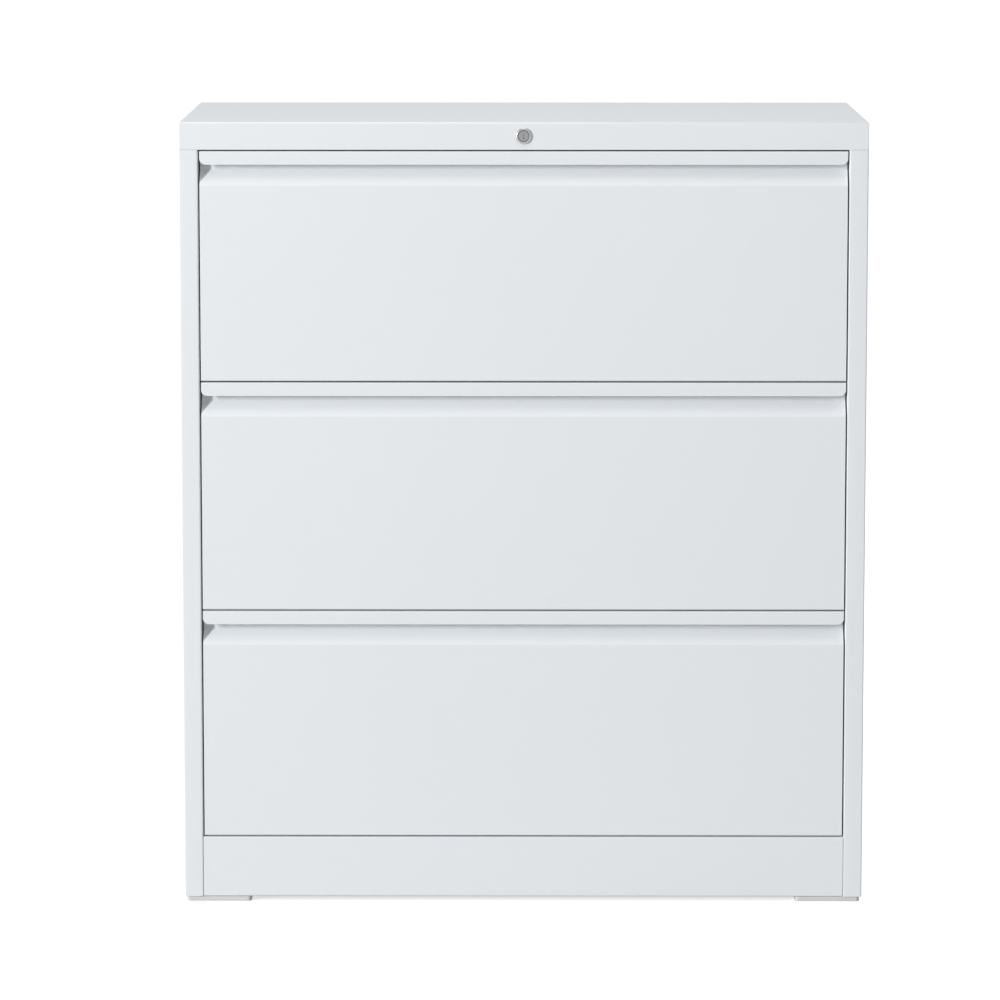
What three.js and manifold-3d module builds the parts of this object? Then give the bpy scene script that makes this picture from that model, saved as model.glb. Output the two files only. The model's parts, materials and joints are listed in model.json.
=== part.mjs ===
// A three-drawer lateral filing cabinet of folded, powder-coated sheet steel.
// Millimetres, +Z up. The origin lies on the floor under the middle of the case,
// and the drawers open towards -Y.
import * as THREE from "three";
import { mergeVertices } from "three/addons/utils/BufferGeometryUtils.js";
import Module from "manifold-3d";

const wasm = await Module();
wasm.setup();

// Case
const CASE_WIDTH = 900;
const CASE_DEPTH = 450;
const FOOT_HEIGHT = 7;
const PLINTH_HEIGHT = 80.5;
const DRAWER_PITCH = 303.5;
const CAP_HEIGHT = 36;
const STILE_WIDTH = 25;
const POST_DEPTH = 60;
const POST_RETURN = 12;
const CASE_RETURN = 16;
const PLINTH_FLANGE = 25;
const PAN_FLANGE = 14;
const BACK_BEAD_PITCH = 440;
const BACK_BEAD_WIDTH = 60;
const BACK_BEAD_DEPTH = 4;
const BACK_BEAD_SLOPE = 8;
const UPRIGHT_WIDTH = 50;
const UPRIGHT_SETBACK = 45;
const FOOT_WIDTH = 86;
const FOOT_LENGTH = 60;
const FOOT_INSET = 2.5;
const FOOT_CORNER = 5;
const FOOT_EDGE = 0.8;

// Sheet metal and fits
const SHEET = 0.8;
const BEND = 1;
const SEAT = 0.3;
const REVEAL = 2;

// Drawer front and its full-width pull
const PULL_HEIGHT = 42.6;
const PULL_DEPTH = 15;
const SLOPE_HEIGHT = 16.6;
const LIP_HEIGHT = 17.5;
const LIP_CORNER = 6.5;
const INNER_PANEL_INSET = 6;

// Drawer box
const REAR_CLEARANCE = 23.9;
const BOX_BOTTOM = 8;
const BOX_TOP = 264;
const FLOOR_FLANGE = 15;
const TOP_FLANGE = 8;
const BEAD_PITCH = 270;
const BEAD_WIDTH = 40;
const BEAD_DEPTH = 3;
const BEAD_SLOPE = 5;
const LEDGE_DEPTH = 10;
const LEDGE_UPSTAND = 8;
const HANGER_SPAN = 330;
const RAIL_HEIGHT = 14;
const RAIL_THICKNESS = 2;
const HOOK_DROP = 5;
const HOOK_PLAY = 0.5;

// Telescopic ball slide
const SLIDE_MARGIN = 1;
const SLIDE_THICKNESS = 12.7;
const SLIDE_HEIGHT = 45;
const SLIDE_CENTRE = 50;
const SLIDE_SHEET = 1.2;
const BALL = 4.6;
const BALL_PLAY = 0.3;
const CAGE_MARGIN = 50;

// Lock, its link and its bar
const LOCK_HEIGHT = 18;
const LOCK_PROUD = 3;
const LOCK_FLANGE_RADIUS = 10.4;
const LOCK_DOME = 1.6;
const LOCK_BODY_RADIUS = 8;
const LOCK_BODY_LENGTH = 18;
const PLUG_RADIUS = 6;
const PLUG_HEAD_RADIUS = 7;
const PLUG_HEAD_LENGTH = 1.6;
const PLUG_TAIL = 6;
const KEYWAY_WIDTH = 1.6;
const KEYWAY_HEIGHT = 7.5;
const KEYWAY_DEPTH = 8;
const TURN_PLAY = 0.3;
const NUT_FLATS = 22;
const NUT_THICKNESS = 4;
const CAM_THICKNESS = 2;
const CAM_HUB_RADIUS = 7;
const CRANK_RADIUS = 7;
const PIN_RADIUS = 2;
const PIN_RIM = 2;
const SLOT_PLAY = 0.4;
const LINK_GAP = 4;
const LINK_THICKNESS = 2;
const LINK_RIM = 3.2;
const GUIDE_PLAY = 1;
const SHELF_UPSTAND = 6;
const BAR_WIDTH = 20;
const BAR_REAR_GAP = 5;
const BAR_THICKNESS = 2;
const BAR_PLAY = 0.5;
const BAR_PIN_HEIGHT = 12;
const FINGER_HEIGHT = 14;
const FINGER_THICKNESS = 3;
const FINGER_REACH = 10;
const FINGER_DROP = 3;
const NOTCH_PLAY = 3.5;
const BAR_TAIL = 15;

// Planes that the pieces share
const HALF_WIDTH = CASE_WIDTH / 2;
const FRONT = -CASE_DEPTH / 2;
const REAR = CASE_DEPTH / 2;
const CASE_BOTTOM = FOOT_HEIGHT;
const PLINTH_TOP = CASE_BOTTOM + PLINTH_HEIGHT;
const DRAWERS = ["lower", "middle", "upper"];
const CAP_BOTTOM = PLINTH_TOP + REVEAL + DRAWERS.length * DRAWER_PITCH;
const CAP_TOP = CAP_BOTTOM + CAP_HEIGHT;
const SIDE_TOP = CAP_BOTTOM - SEAT;
const JAMB = HALF_WIDTH - STILE_WIDTH;
const BACK_FACE = REAR - SHEET - SEAT;
const FRONT_WIDTH = 2 * (JAMB - REVEAL);
const FRONT_HEIGHT = DRAWER_PITCH - REVEAL;
const FRONT_DEPTH = PULL_DEPTH + SHEET;
const LIP_BOTTOM = FRONT_HEIGHT - LIP_HEIGHT;
const BOX_START = FRONT_DEPTH + SHEET + 2 * SEAT;
const BOX_END = BACK_FACE - SHEET - FRONT - REAR_CLEARANCE;
const BOX_HALF = JAMB - SLIDE_THICKNESS;
const BOX_INSIDE = BOX_HALF - SHEET - SEAT;
const FLOOR_BOTTOM = BOX_BOTTOM + SHEET + SEAT;
const FLOOR_TOP = FLOOR_BOTTOM + SHEET;
const LEDGE_TOP = BOX_TOP - RAIL_THICKNESS - SEAT;
const LEDGE_FLOOR = LEDGE_TOP - LEDGE_UPSTAND;
const INNER_PANEL = FRONT_DEPTH + SEAT + SHEET / 2;
const SLIDE_START = BOX_START + SLIDE_MARGIN;
const SLIDE_LENGTH = BOX_END - SLIDE_MARGIN - SLIDE_START;
const CAGE_LENGTH = SLIDE_LENGTH - 2 * CAGE_MARGIN;
const CRANK_OFFSET = CRANK_RADIUS * Math.SQRT1_2;
const LOCK_TRAVEL = 2 * CRANK_OFFSET;
const LOCK_AXIS = CAP_BOTTOM + LOCK_HEIGHT;
const CAM_FACE = LOCK_BODY_LENGTH + 2 * SEAT;
const LINK_FACE = CAM_FACE + CAM_THICKNESS + LINK_GAP;
const SHELF_DEPTH = LINK_FACE + LINK_THICKNESS + GUIDE_PLAY + SHEET;
const LINK_BOTTOM = CAP_BOTTOM + SHEET + SEAT;
const BAR_FACE = JAMB + SHEET + BAR_PLAY;
const BAR_MIDDLE = BAR_FACE + BAR_THICKNESS / 2;
const BAR_FRONT = FRONT + POST_DEPTH - BAR_REAR_GAP - BAR_WIDTH;
const FINGER_MIDDLE = BAR_FRONT + BAR_WIDTH / 2;
const FINGER_TOP = BOX_TOP - SHEET - FINGER_DROP;

// How finely arcs are cut: a bend has twice this many steps, and a full circle CIRCLE_STEPS
const BEND_STEPS = 1;
const FOOT_STEPS = 2;
const CIRCLE_STEPS = 28;

const paint = new THREE.MeshStandardMaterial({ color: "#e3e7ea", roughness: 0.45, metalness: 0 });
const zinc = new THREE.MeshStandardMaterial({ color: "#b9bdc1", roughness: 0.35, metalness: 0.9 });
const chrome = new THREE.MeshStandardMaterial({ color: "#c9cbcd", roughness: 0.18, metalness: 1 });
const plastic = new THREE.MeshStandardMaterial({ color: "#d9d9db", roughness: 0.6, metalness: 0 });

// A closed geometry as a solid that can be joined and cut.
function solidOf(geometry) {
  const bare = geometry.clone();
  bare.deleteAttribute("normal");
  bare.deleteAttribute("uv");
  const merged = mergeVertices(bare, 1e-4);
  const vertProperties = merged.getAttribute("position").array;
  const triVerts = new Uint32Array(merged.index.array);
  return new wasm.Manifold(new wasm.Mesh({ numProp: 3, vertProperties, triVerts }));
}

function geometryOf(solid) {
  const { vertProperties, triVerts } = solid.getMesh();
  return new THREE.BufferGeometry()
    .setAttribute("position", new THREE.BufferAttribute(vertProperties, 3))
    .setIndex(new THREE.BufferAttribute(triVerts, 1));
}

function joined(...geometries) {
  return geometryOf(geometries.map(solidOf).reduce((whole, next) => whole.add(next)));
}

function cut(geometry, ...cutters) {
  const whole = solidOf(geometry);
  return geometryOf(cutters.map(solidOf).reduce((left, cutter) => left.subtract(cutter), whole));
}

function common(...geometries) {
  return geometryOf(geometries.map(solidOf).reduce((whole, next) => whole.intersect(next)));
}

// The middle line of a flat sheet with stiffening beads pressed into it at even distances,
// as near to the pitch as a whole number of beads comes.
function beaded(half, level, nearPitch, width, depth, slope) {
  const beads = Math.max(1, Math.round((2 * half) / nearPitch));
  const pitch = (2 * half) / beads;
  const line = [[-half, level]];
  for (let bead = 0; bead < beads; bead++) {
    const middle = -half + (bead + 0.5) * pitch;
    const rim = width / 2;
    line.push([middle - rim, level]);
    line.push([middle - rim + slope, level - depth]);
    line.push([middle + rim - slope, level - depth]);
    line.push([middle + rim, level]);
  }
  line.push([half, level]);
  return line;
}

// A profile carried along one axis. It is drawn in the other two:
// (y, z) for x, (x, z) for y and (x, y) for z.
function carried(shape, axis, from, to, steps = BEND_STEPS) {
  const geometry = new THREE.ExtrudeGeometry(shape, {
    depth: to - from,
    curveSegments: steps,
    bevelEnabled: false,
  });
  const [right, up, along] = {
    x: [[0, 1, 0], [0, 0, 1], [1, 0, 0]],
    y: [[1, 0, 0], [0, 0, 1], [0, -1, 0]],
    z: [[1, 0, 0], [0, 1, 0], [0, 0, 1]],
  }[axis].map((direction) => new THREE.Vector3(...direction));
  geometry.applyMatrix4(new THREE.Matrix4().makeBasis(right, up, along));
  const start = axis === "y" ? along.clone().multiplyScalar(-to) : along.clone().multiplyScalar(from);
  return geometry.translate(start.x, start.y, start.z);
}

function block([x0, x1], [y0, y1], [z0, z1]) {
  return new THREE.BoxGeometry(x1 - x0, y1 - y0, z1 - z0)
    .translate((x0 + x1) / 2, (y0 + y1) / 2, (z0 + z1) / 2);
}

function across(halfWidth) {
  return [-halfWidth, halfWidth];
}

// A pair of positions in rising order, for a piece that is made on either side of the case.
function span(a, b) {
  return a < b ? [a, b] : [b, a];
}

function polygon(points) {
  return new THREE.Shape(points.map(([u, v]) => new THREE.Vector2(u, v)));
}

function roundedRectangle([u0, u1], [v0, v1], radius) {
  const shape = new THREE.Shape();
  shape.absarc(u1 - radius, v0 + radius, radius, -Math.PI / 2, 0);
  shape.absarc(u1 - radius, v1 - radius, radius, 0, Math.PI / 2);
  shape.absarc(u0 + radius, v1 - radius, radius, Math.PI / 2, Math.PI);
  shape.absarc(u0 + radius, v0 + radius, radius, Math.PI, 1.5 * Math.PI);
  return shape;
}

// A slot with round ends about the line from one pin position to another.
function slot([u0, v0], [u1, v1], radius) {
  const heading = Math.atan2(v1 - v0, u1 - u0);
  const path = new THREE.Path();
  path.absarc(u0, v0, radius, heading + Math.PI / 2, heading + 1.5 * Math.PI);
  path.absarc(u1, v1, radius, heading - Math.PI / 2, heading + Math.PI / 2);
  return path;
}

// The section of a folded sheet: its middle line with every corner bent to the inside radius,
// given a thickness.
function foldedSheet(middleLine, thickness = SHEET, insideRadius = BEND) {
  const corners = middleLine.map(([u, v]) => new THREE.Vector2(u, v));
  const radius = insideRadius + thickness / 2;
  const headings = corners.slice(1).map((corner, i) => corner.clone().sub(corners[i]).angle());
  const offset = (corner, heading, distance) =>
    new THREE.Vector2(corner.x - Math.sin(heading) * distance, corner.y + Math.cos(heading) * distance);
  const bends = headings.slice(1).map((next, i) => {
    const heading = headings[i];
    const turn = Math.atan2(Math.sin(next - heading), Math.cos(next - heading));
    const way = Math.sign(turn);
    const tangent = radius * Math.tan(Math.abs(turn) / 2);
    const back = new THREE.Vector2(-tangent, 0).rotateAround(new THREE.Vector2(), heading);
    const start = corners[i + 1].clone().add(back);
    const quarter = (way * Math.PI) / 2;
    return { centre: offset(start, heading, way * radius), way, from: heading - quarter, to: next - quarter };
  });
  const half = thickness / 2;
  const first = headings[0];
  const last = headings[headings.length - 1];
  const shape = new THREE.Shape([-half, half].map((distance) => offset(corners[0], first, distance)));
  for (const { centre, way, from, to } of bends) {
    shape.absarc(centre.x, centre.y, radius - way * half, from, to, way < 0);
  }
  for (const distance of [half, -half]) {
    const end = offset(corners[corners.length - 1], last, distance);
    shape.lineTo(end.x, end.y);
  }
  for (const { centre, way, from, to } of bends.reverse()) {
    shape.absarc(centre.x, centre.y, radius + way * half, to, from, way > 0);
  }
  return shape;
}

// A solid of revolution about Y; its profile is drawn as [radius, y].
function revolved(profile) {
  return new THREE.LatheGeometry(profile.map(([r, y]) => new THREE.Vector2(r, y)), CIRCLE_STEPS);
}

function rod(radius, from, to) {
  return revolved([[0, from], [radius, from], [radius, to], [0, to]]);
}

function piece(parent, name, geometry, material) {
  const mesh = new THREE.Mesh(geometry, material);
  mesh.name = name;
  parent.add(mesh);
}

// The height of the lower edge of a drawer front, counted from the lowest drawer.
function drawerBottom(row) {
  return PLINTH_TOP + REVEAL + row * DRAWER_PITCH;
}

// A case side: one sheet folded round the front into a stile and a post,
// with flanges at the rear, top and bottom.
function sidePanel(side) {
  const wall = HALF_WIDTH - SHEET / 2;
  const jamb = JAMB + SHEET / 2;
  const front = FRONT + SHEET / 2;
  const rear = REAR - SHEET / 2;
  const postEnd = FRONT + POST_DEPTH - SHEET / 2;
  const plan = foldedSheet([
    [side * (jamb + POST_RETURN), postEnd],
    [side * jamb, postEnd],
    [side * jamb, front],
    [side * wall, front],
    [side * wall, rear],
    [side * (wall - CASE_RETURN), rear],
  ]);
  const relief = BEND + SHEET;
  const flange = (bottom) =>
    block(
      span(side * wall, side * (wall - CASE_RETURN)),
      [FRONT + relief, REAR - relief],
      [bottom, bottom + SHEET],
    );
  return joined(carried(plan, "z", CASE_BOTTOM, SIDE_TOP), flange(CASE_BOTTOM), flange(SIDE_TOP - SHEET));
}

// The slot in the right-hand post that one finger of the lock bar reaches through.
// Its lower edge carries the finger.
function fingerSlot(row) {
  const top = drawerBottom(row) + FINGER_TOP;
  return block(
    [JAMB - SHEET, JAMB + 2 * SHEET],
    [FINGER_MIDDLE - FINGER_THICKNESS / 2 - SLOT_PLAY, FINGER_MIDDLE + FINGER_THICKNESS / 2 + SLOT_PLAY],
    [top - FINGER_HEIGHT - SEAT, top + LOCK_TRAVEL + SEAT],
  );
}

// The back: a pan with upright stiffening beads pressed inwards.
function backPanel() {
  const face = BACK_FACE - SHEET / 2;
  const edge = HALF_WIDTH - SHEET - SEAT - SHEET / 2;
  const plan = foldedSheet([
    [-edge, face - PAN_FLANGE],
    ...beaded(edge, face, BACK_BEAD_PITCH, BACK_BEAD_WIDTH, BACK_BEAD_DEPTH, BACK_BEAD_SLOPE),
    [edge, face - PAN_FLANGE],
  ]);
  return carried(plan, "z", CASE_BOTTOM + SHEET + SEAT, SIDE_TOP - SHEET - SEAT);
}

// A block whose upper and upright edges are rounded, as a pan's skin is by its bends.
function pannedBlock(halfWidth, [y0, y1], [z0, z1], radius) {
  const plan = carried(roundedRectangle(across(halfWidth), [y0, y1], radius), "z", z0, z1);
  const fromFront = roundedRectangle(across(halfWidth), [z0 - 2 * radius, z1], radius);
  const fromSide = roundedRectangle([y0, y1], [z0 - 2 * radius, z1], radius);
  return common(plan, carried(fromFront, "y", y0, y1), carried(fromSide, "x", -halfWidth, halfWidth));
}

// The top: a pan with all four edges turned down and returned,
// and a shelf inside its front edge for the lock's link.
function topPanel() {
  const skin = pannedBlock(HALF_WIDTH, [FRONT, REAR], [CAP_BOTTOM, CAP_TOP], BEND + SHEET);
  const hollow = pannedBlock(
    HALF_WIDTH - SHEET,
    [FRONT + SHEET, REAR - SHEET],
    [CAP_BOTTOM - SHEET, CAP_TOP - SHEET],
    BEND,
  );
  const edge = [FRONT + SHEET / 2, REAR - SHEET / 2];
  const returns = polygon([
    [-HALF_WIDTH + SHEET / 2, edge[0]],
    [HALF_WIDTH - SHEET / 2, edge[0]],
    [HALF_WIDTH - SHEET / 2, edge[1]],
    [-HALF_WIDTH + SHEET / 2, edge[1]],
  ]);
  const opening = HALF_WIDTH - CASE_RETURN;
  returns.holes.push(
    polygon([
      [-opening, FRONT + SHELF_DEPTH - SHEET / 2],
      [opening, FRONT + SHELF_DEPTH - SHEET / 2],
      [opening, REAR - CASE_RETURN],
      [-opening, REAR - CASE_RETURN],
    ]),
  );
  const upstand = block(
    across(JAMB),
    [FRONT + SHELF_DEPTH - SHEET, FRONT + SHELF_DEPTH],
    [CAP_BOTTOM, CAP_BOTTOM + SHEET + SHELF_UPSTAND],
  );
  const lockHole = rod(LOCK_BODY_RADIUS + SEAT, FRONT - SHEET, FRONT + 2 * SHEET).translate(0, 0, LOCK_AXIS);
  const pan = joined(cut(skin, hollow), carried(returns, "z", CAP_BOTTOM, CAP_BOTTOM + SHEET), upstand);
  return cut(pan, lockHole);
}

function kickPlate() {
  const face = FRONT + SHEET / 2;
  const section = foldedSheet([
    [FRONT + PLINTH_FLANGE, CASE_BOTTOM + SHEET / 2],
    [face, CASE_BOTTOM + SHEET / 2],
    [face, PLINTH_TOP - SHEET / 2],
    [FRONT + PLINTH_FLANGE, PLINTH_TOP - SHEET / 2],
  ]);
  return carried(section, "x", -(JAMB - SEAT), JAMB - SEAT);
}

// The case floor: a pan whose front edge lies under the kick plate's upper flange.
function bottomPanel() {
  const level = PLINTH_TOP - SHEET - SEAT - SHEET / 2;
  const edge = JAMB - SEAT - SHEET / 2;
  const section = foldedSheet([
    [-edge, level - PAN_FLANGE],
    [-edge, level],
    [edge, level],
    [edge, level - PAN_FLANGE],
  ]);
  const rear = BACK_FACE - SHEET - BACK_BEAD_DEPTH - SEAT;
  return carried(section, "y", FRONT + SHEET + BEND + SEAT, rear);
}

function foot() {
  const plan = roundedRectangle(
    across(FOOT_WIDTH / 2 - FOOT_EDGE),
    across(FOOT_LENGTH / 2 - FOOT_EDGE),
    FOOT_CORNER - FOOT_EDGE,
  );
  const pad = new THREE.ExtrudeGeometry(plan, {
    depth: FOOT_HEIGHT - SEAT - 2 * FOOT_EDGE,
    curveSegments: FOOT_STEPS,
    bevelThickness: FOOT_EDGE,
    bevelSize: FOOT_EDGE,
    bevelSegments: 1,
  });
  return pad.translate(0, 0, FOOT_EDGE);
}

// The rear post inside a case side: a channel whose web carries the rear ends of the slides.
function rearUpright(side) {
  const web = JAMB + SHEET / 2;
  const wall = HALF_WIDTH - SHEET - SEAT;
  const rear = REAR - UPRIGHT_SETBACK - SHEET / 2;
  const front = rear - UPRIGHT_WIDTH + SHEET;
  const plan = foldedSheet([
    [side * wall, front],
    [side * web, front],
    [side * web, rear],
    [side * wall, rear],
  ]);
  return carried(plan, "z", CASE_BOTTOM + SHEET + SEAT, SIDE_TOP - SHEET - SEAT);
}

// The slide's three channels nest, with a row of balls above and below each inner one.
// A section is drawn from the post towards the drawer, in the slide's own frame.
const CASE_CHANNEL = {
  web: SEAT + SLIDE_SHEET / 2,
  flange: SLIDE_HEIGHT / 2 - SLIDE_SHEET / 2,
  tip: SLIDE_THICKNESS - 2.5 * SLIDE_SHEET,
};
const MIDDLE_CHANNEL = {
  web: CASE_CHANNEL.web + 2.5 * SLIDE_SHEET,
  flange: CASE_CHANNEL.flange - SLIDE_SHEET - BALL,
  tip: SLIDE_THICKNESS - 2 * SLIDE_SHEET,
};
const DRAWER_CHANNEL = {
  web: SLIDE_THICKNESS - SEAT - SLIDE_SHEET / 2,
  flange: MIDDLE_CHANNEL.flange - SLIDE_SHEET - BALL,
  tip: MIDDLE_CHANNEL.web + 2 * SLIDE_SHEET,
};

function slideChannel(side, { web, flange, tip }) {
  const section = foldedSheet(
    [
      [-side * tip, flange],
      [-side * web, flange],
      [-side * web, -flange],
      [-side * tip, -flange],
    ],
    SLIDE_SHEET,
  );
  return carried(section, "y", 0, SLIDE_LENGTH);
}

// The middle channel carries its four rows of balls, each as one round bead along the cage.
function middleChannel(side) {
  const { web, flange, tip } = MIDDLE_CHANNEL;
  const ballMiddle = (web + SLIDE_SHEET / 2 + tip) / 2;
  const radius = BALL / 2;
  const reach = SLIDE_SHEET / 2 + radius - BALL_PLAY;
  const rows = [flange + reach, flange - reach, reach - flange, -flange - reach].map((height) => {
    const row = new THREE.CylinderGeometry(radius, radius, CAGE_LENGTH, 8).rotateY(Math.PI / 8);
    return row.translate(-side * ballMiddle, SLIDE_LENGTH / 2, height);
  });
  return joined(slideChannel(side, MIDDLE_CHANNEL), ...rows);
}

// The drawer front: one sheet folded from the lower flange up the face,
// back into the finger recess and over the lip.
function drawerFront() {
  const face = SHEET / 2;
  const recess = PULL_DEPTH + SHEET / 2;
  const top = FRONT_HEIGHT - SHEET / 2;
  const slopeFoot = FRONT_HEIGHT - PULL_HEIGHT;
  const slopeTop = slopeFoot + SLOPE_HEIGHT;
  const half = FRONT_WIDTH / 2;
  const section = foldedSheet([
    [FRONT_DEPTH, SHEET / 2],
    [face, SHEET / 2],
    [face, slopeFoot],
    [recess, slopeTop],
    [recess, top],
    [face, top],
    [face, LIP_BOTTOM],
  ]);
  const inside = 0.75 * SHEET;
  const end = polygon([
    [inside, inside],
    [FRONT_DEPTH, inside],
    [FRONT_DEPTH, slopeTop],
    [recess, slopeTop],
    [inside, slopeFoot],
  ]);
  const skin = joined(
    carried(section, "x", -half, half),
    carried(end, "x", -half, -half + SHEET),
    carried(end, "x", half - SHEET, half),
  );
  return cut(skin, lipCorner(-1), lipCorner(1));
}

// What is trimmed off a lower corner of the lip to round it.
function lipCorner(side) {
  const edge = (FRONT_WIDTH / 2) * side;
  const centre = edge - side * LIP_CORNER;
  const trim = new THREE.Shape();
  trim.moveTo(edge + side * SHEET, LIP_BOTTOM - SHEET);
  trim.lineTo(edge + side * SHEET, LIP_BOTTOM + LIP_CORNER);
  trim.absarc(centre, LIP_BOTTOM + LIP_CORNER, LIP_CORNER, side > 0 ? 0 : Math.PI, 1.5 * Math.PI, side > 0);
  trim.lineTo(centre, LIP_BOTTOM - SHEET);
  return carried(trim, "y", -SHEET, 2 * SHEET, 3);
}

// A wall whose top edge is set inwards and turned up, so that a rail can hook over it.
function ledgedWall(face, foot, inwards) {
  return foldedSheet([
    [face, foot],
    [face, LEDGE_FLOOR],
    [face + inwards * LEDGE_DEPTH, LEDGE_FLOOR],
    [face + inwards * LEDGE_DEPTH, LEDGE_TOP],
  ]);
}

// The panel that closes the back of the drawer front.
function innerPanel() {
  const half = FRONT_WIDTH / 2 - INNER_PANEL_INSET;
  const ledged = carried(ledgedWall(INNER_PANEL, BOX_BOTTOM, 1), "x", -BOX_INSIDE, BOX_INSIDE);
  const sheet = block(
    across(half),
    [INNER_PANEL - SHEET / 2, INNER_PANEL + SHEET / 2],
    [BOX_BOTTOM, LEDGE_FLOOR - BEND - SHEET],
  );
  return joined(ledged, sheet);
}

function drawerSide(side) {
  const wall = BOX_HALF - SHEET / 2;
  const section = foldedSheet([
    [side * (wall - FLOOR_FLANGE), BOX_BOTTOM + SHEET / 2],
    [side * wall, BOX_BOTTOM + SHEET / 2],
    [side * wall, BOX_TOP - SHEET / 2],
    [side * (wall + TOP_FLANGE), BOX_TOP - SHEET / 2],
  ]);
  return carried(section, "y", BOX_START, BOX_END);
}

// The notch in the right-hand side's top flange that a raised finger of the lock bar stands in.
function fingerNotch() {
  const middle = FINGER_MIDDLE - FRONT;
  const half = FINGER_THICKNESS / 2 + NOTCH_PLAY;
  return block(
    [BOX_HALF + SEAT, BOX_HALF + TOP_FLANGE + SHEET],
    [middle - half, middle + half],
    [BOX_TOP - SHEET - BEND, BOX_TOP + SHEET],
  );
}

function drawerBack() {
  return carried(ledgedWall(BOX_END - SHEET / 2, FLOOR_TOP + SEAT, -1), "x", -BOX_INSIDE, BOX_INSIDE);
}

// The drawer floor rests on the flanges of the sides, and shallow beads along its depth stiffen it.
function drawerFloor() {
  const half = BOX_INSIDE - BEND;
  const level = FLOOR_BOTTOM + SHEET / 2;
  const line = beaded(half, level, BEAD_PITCH, BEAD_WIDTH, BEAD_DEPTH, BEAD_SLOPE);
  return carried(foldedSheet(line), "y", BOX_START, BOX_END);
}

// A hanging rail: a flat strip on edge whose ends hook over the turned-up ledges.
function hangingRail(middle) {
  const top = LEDGE_TOP + SEAT;
  const hook = (ledge, inwards) => {
    const inner = ledge + inwards * (SHEET / 2 + HOOK_PLAY);
    const outer = ledge - inwards * (SHEET / 2 + HOOK_PLAY);
    const nose = outer - inwards * RAIL_THICKNESS;
    return [
      [inner, BOX_TOP - RAIL_HEIGHT],
      [inner, top],
      [outer, top],
      [outer, top - HOOK_DROP],
      [nose, top - HOOK_DROP],
      [nose, BOX_TOP],
    ];
  };
  const front = hook(INNER_PANEL + LEDGE_DEPTH, 1);
  const rear = hook(BOX_END - SHEET / 2 - LEDGE_DEPTH, -1);
  const outline = polygon([...front, ...rear.reverse()]);
  return carried(outline, "x", middle - RAIL_THICKNESS / 2, middle + RAIL_THICKNESS / 2);
}

// The lock's housing: a domed flange on the face of the top's edge, and a body through it.
function lockBarrel() {
  const domeStart = -LOCK_PROUD;
  const rim = LOCK_FLANGE_RADIUS - LOCK_DOME;
  const seat = PLUG_HEAD_RADIUS + TURN_PLAY;
  const bore = PLUG_RADIUS + TURN_PLAY;
  const dome = [0, 1, 2, 3].map((step) => {
    const angle = (step / 3) * (Math.PI / 2);
    return [rim + LOCK_DOME * Math.sin(angle), domeStart + LOCK_DOME * (1 - Math.cos(angle))];
  });
  return revolved([
    [seat, domeStart],
    ...dome,
    [LOCK_FLANGE_RADIUS, -SEAT],
    [LOCK_BODY_RADIUS, -SEAT],
    [LOCK_BODY_RADIUS, LOCK_BODY_LENGTH],
    [bore, LOCK_BODY_LENGTH],
    [bore, domeStart + PLUG_HEAD_LENGTH + TURN_PLAY],
    [seat, domeStart + PLUG_HEAD_LENGTH + TURN_PLAY],
    [seat, domeStart],
  ]);
}

// The part that the key turns: a head with its keyway, a shank through the bore
// and a square tail for the cam.
function lockPlug() {
  const face = -LOCK_PROUD;
  const end = LOCK_BODY_LENGTH + SEAT;
  const turned = revolved([
    [0, face],
    [PLUG_HEAD_RADIUS, face],
    [PLUG_HEAD_RADIUS, face + PLUG_HEAD_LENGTH],
    [PLUG_RADIUS, face + PLUG_HEAD_LENGTH],
    [PLUG_RADIUS, end],
    [0, end],
  ]);
  const tailLength = [end - SHEET, CAM_FACE + CAM_THICKNESS + SEAT];
  const tail = block(across(PLUG_TAIL / 2), tailLength, across(PLUG_TAIL / 2));
  const keyway = block(
    across(KEYWAY_WIDTH / 2),
    [face - SHEET, face + KEYWAY_DEPTH],
    across(KEYWAY_HEIGHT / 2),
  );
  return cut(joined(turned, tail), keyway);
}

function lockNut() {
  const corner = NUT_FLATS / Math.sqrt(3);
  const hexagon = [0, 1, 2, 3, 4, 5].map((i) => [
    corner * Math.cos((i * Math.PI) / 3),
    corner * Math.sin((i * Math.PI) / 3),
  ]);
  const outline = polygon(hexagon);
  outline.holes.push(new THREE.Path().absarc(0, 0, LOCK_BODY_RADIUS + SEAT, 0, 2 * Math.PI));
  return carried(outline, "y", SHEET + SEAT, SHEET + SEAT + NUT_THICKNESS, CIRCLE_STEPS / 2);
}

// The cam: a teardrop plate on the plug's square tail, with a crank pin that moves the link.
function lockCam() {
  const tip = PIN_RADIUS + PIN_RIM;
  const lean = Math.acos((CAM_HUB_RADIUS - tip) / CRANK_RADIUS);
  const down = -Math.PI / 4;
  const pin = [CRANK_OFFSET, -CRANK_OFFSET];
  const outline = new THREE.Shape();
  outline.absarc(0, 0, CAM_HUB_RADIUS, down + lean, down - lean + 2 * Math.PI);
  outline.absarc(...pin, tip, down - lean, down + lean);
  const hole = PLUG_TAIL / 2 + TURN_PLAY;
  outline.holes.push(polygon([[-hole, -hole], [hole, -hole], [hole, hole], [-hole, hole]]));
  const plate = carried(outline, "y", CAM_FACE, CAM_FACE + CAM_THICKNESS, CIRCLE_STEPS / 4);
  const crank = rod(PIN_RADIUS, CAM_FACE + CAM_THICKNESS / 2, LINK_FACE + LINK_THICKNESS + GUIDE_PLAY / 2);
  return joined(plate, crank.translate(pin[0], 0, pin[1]));
}

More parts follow.
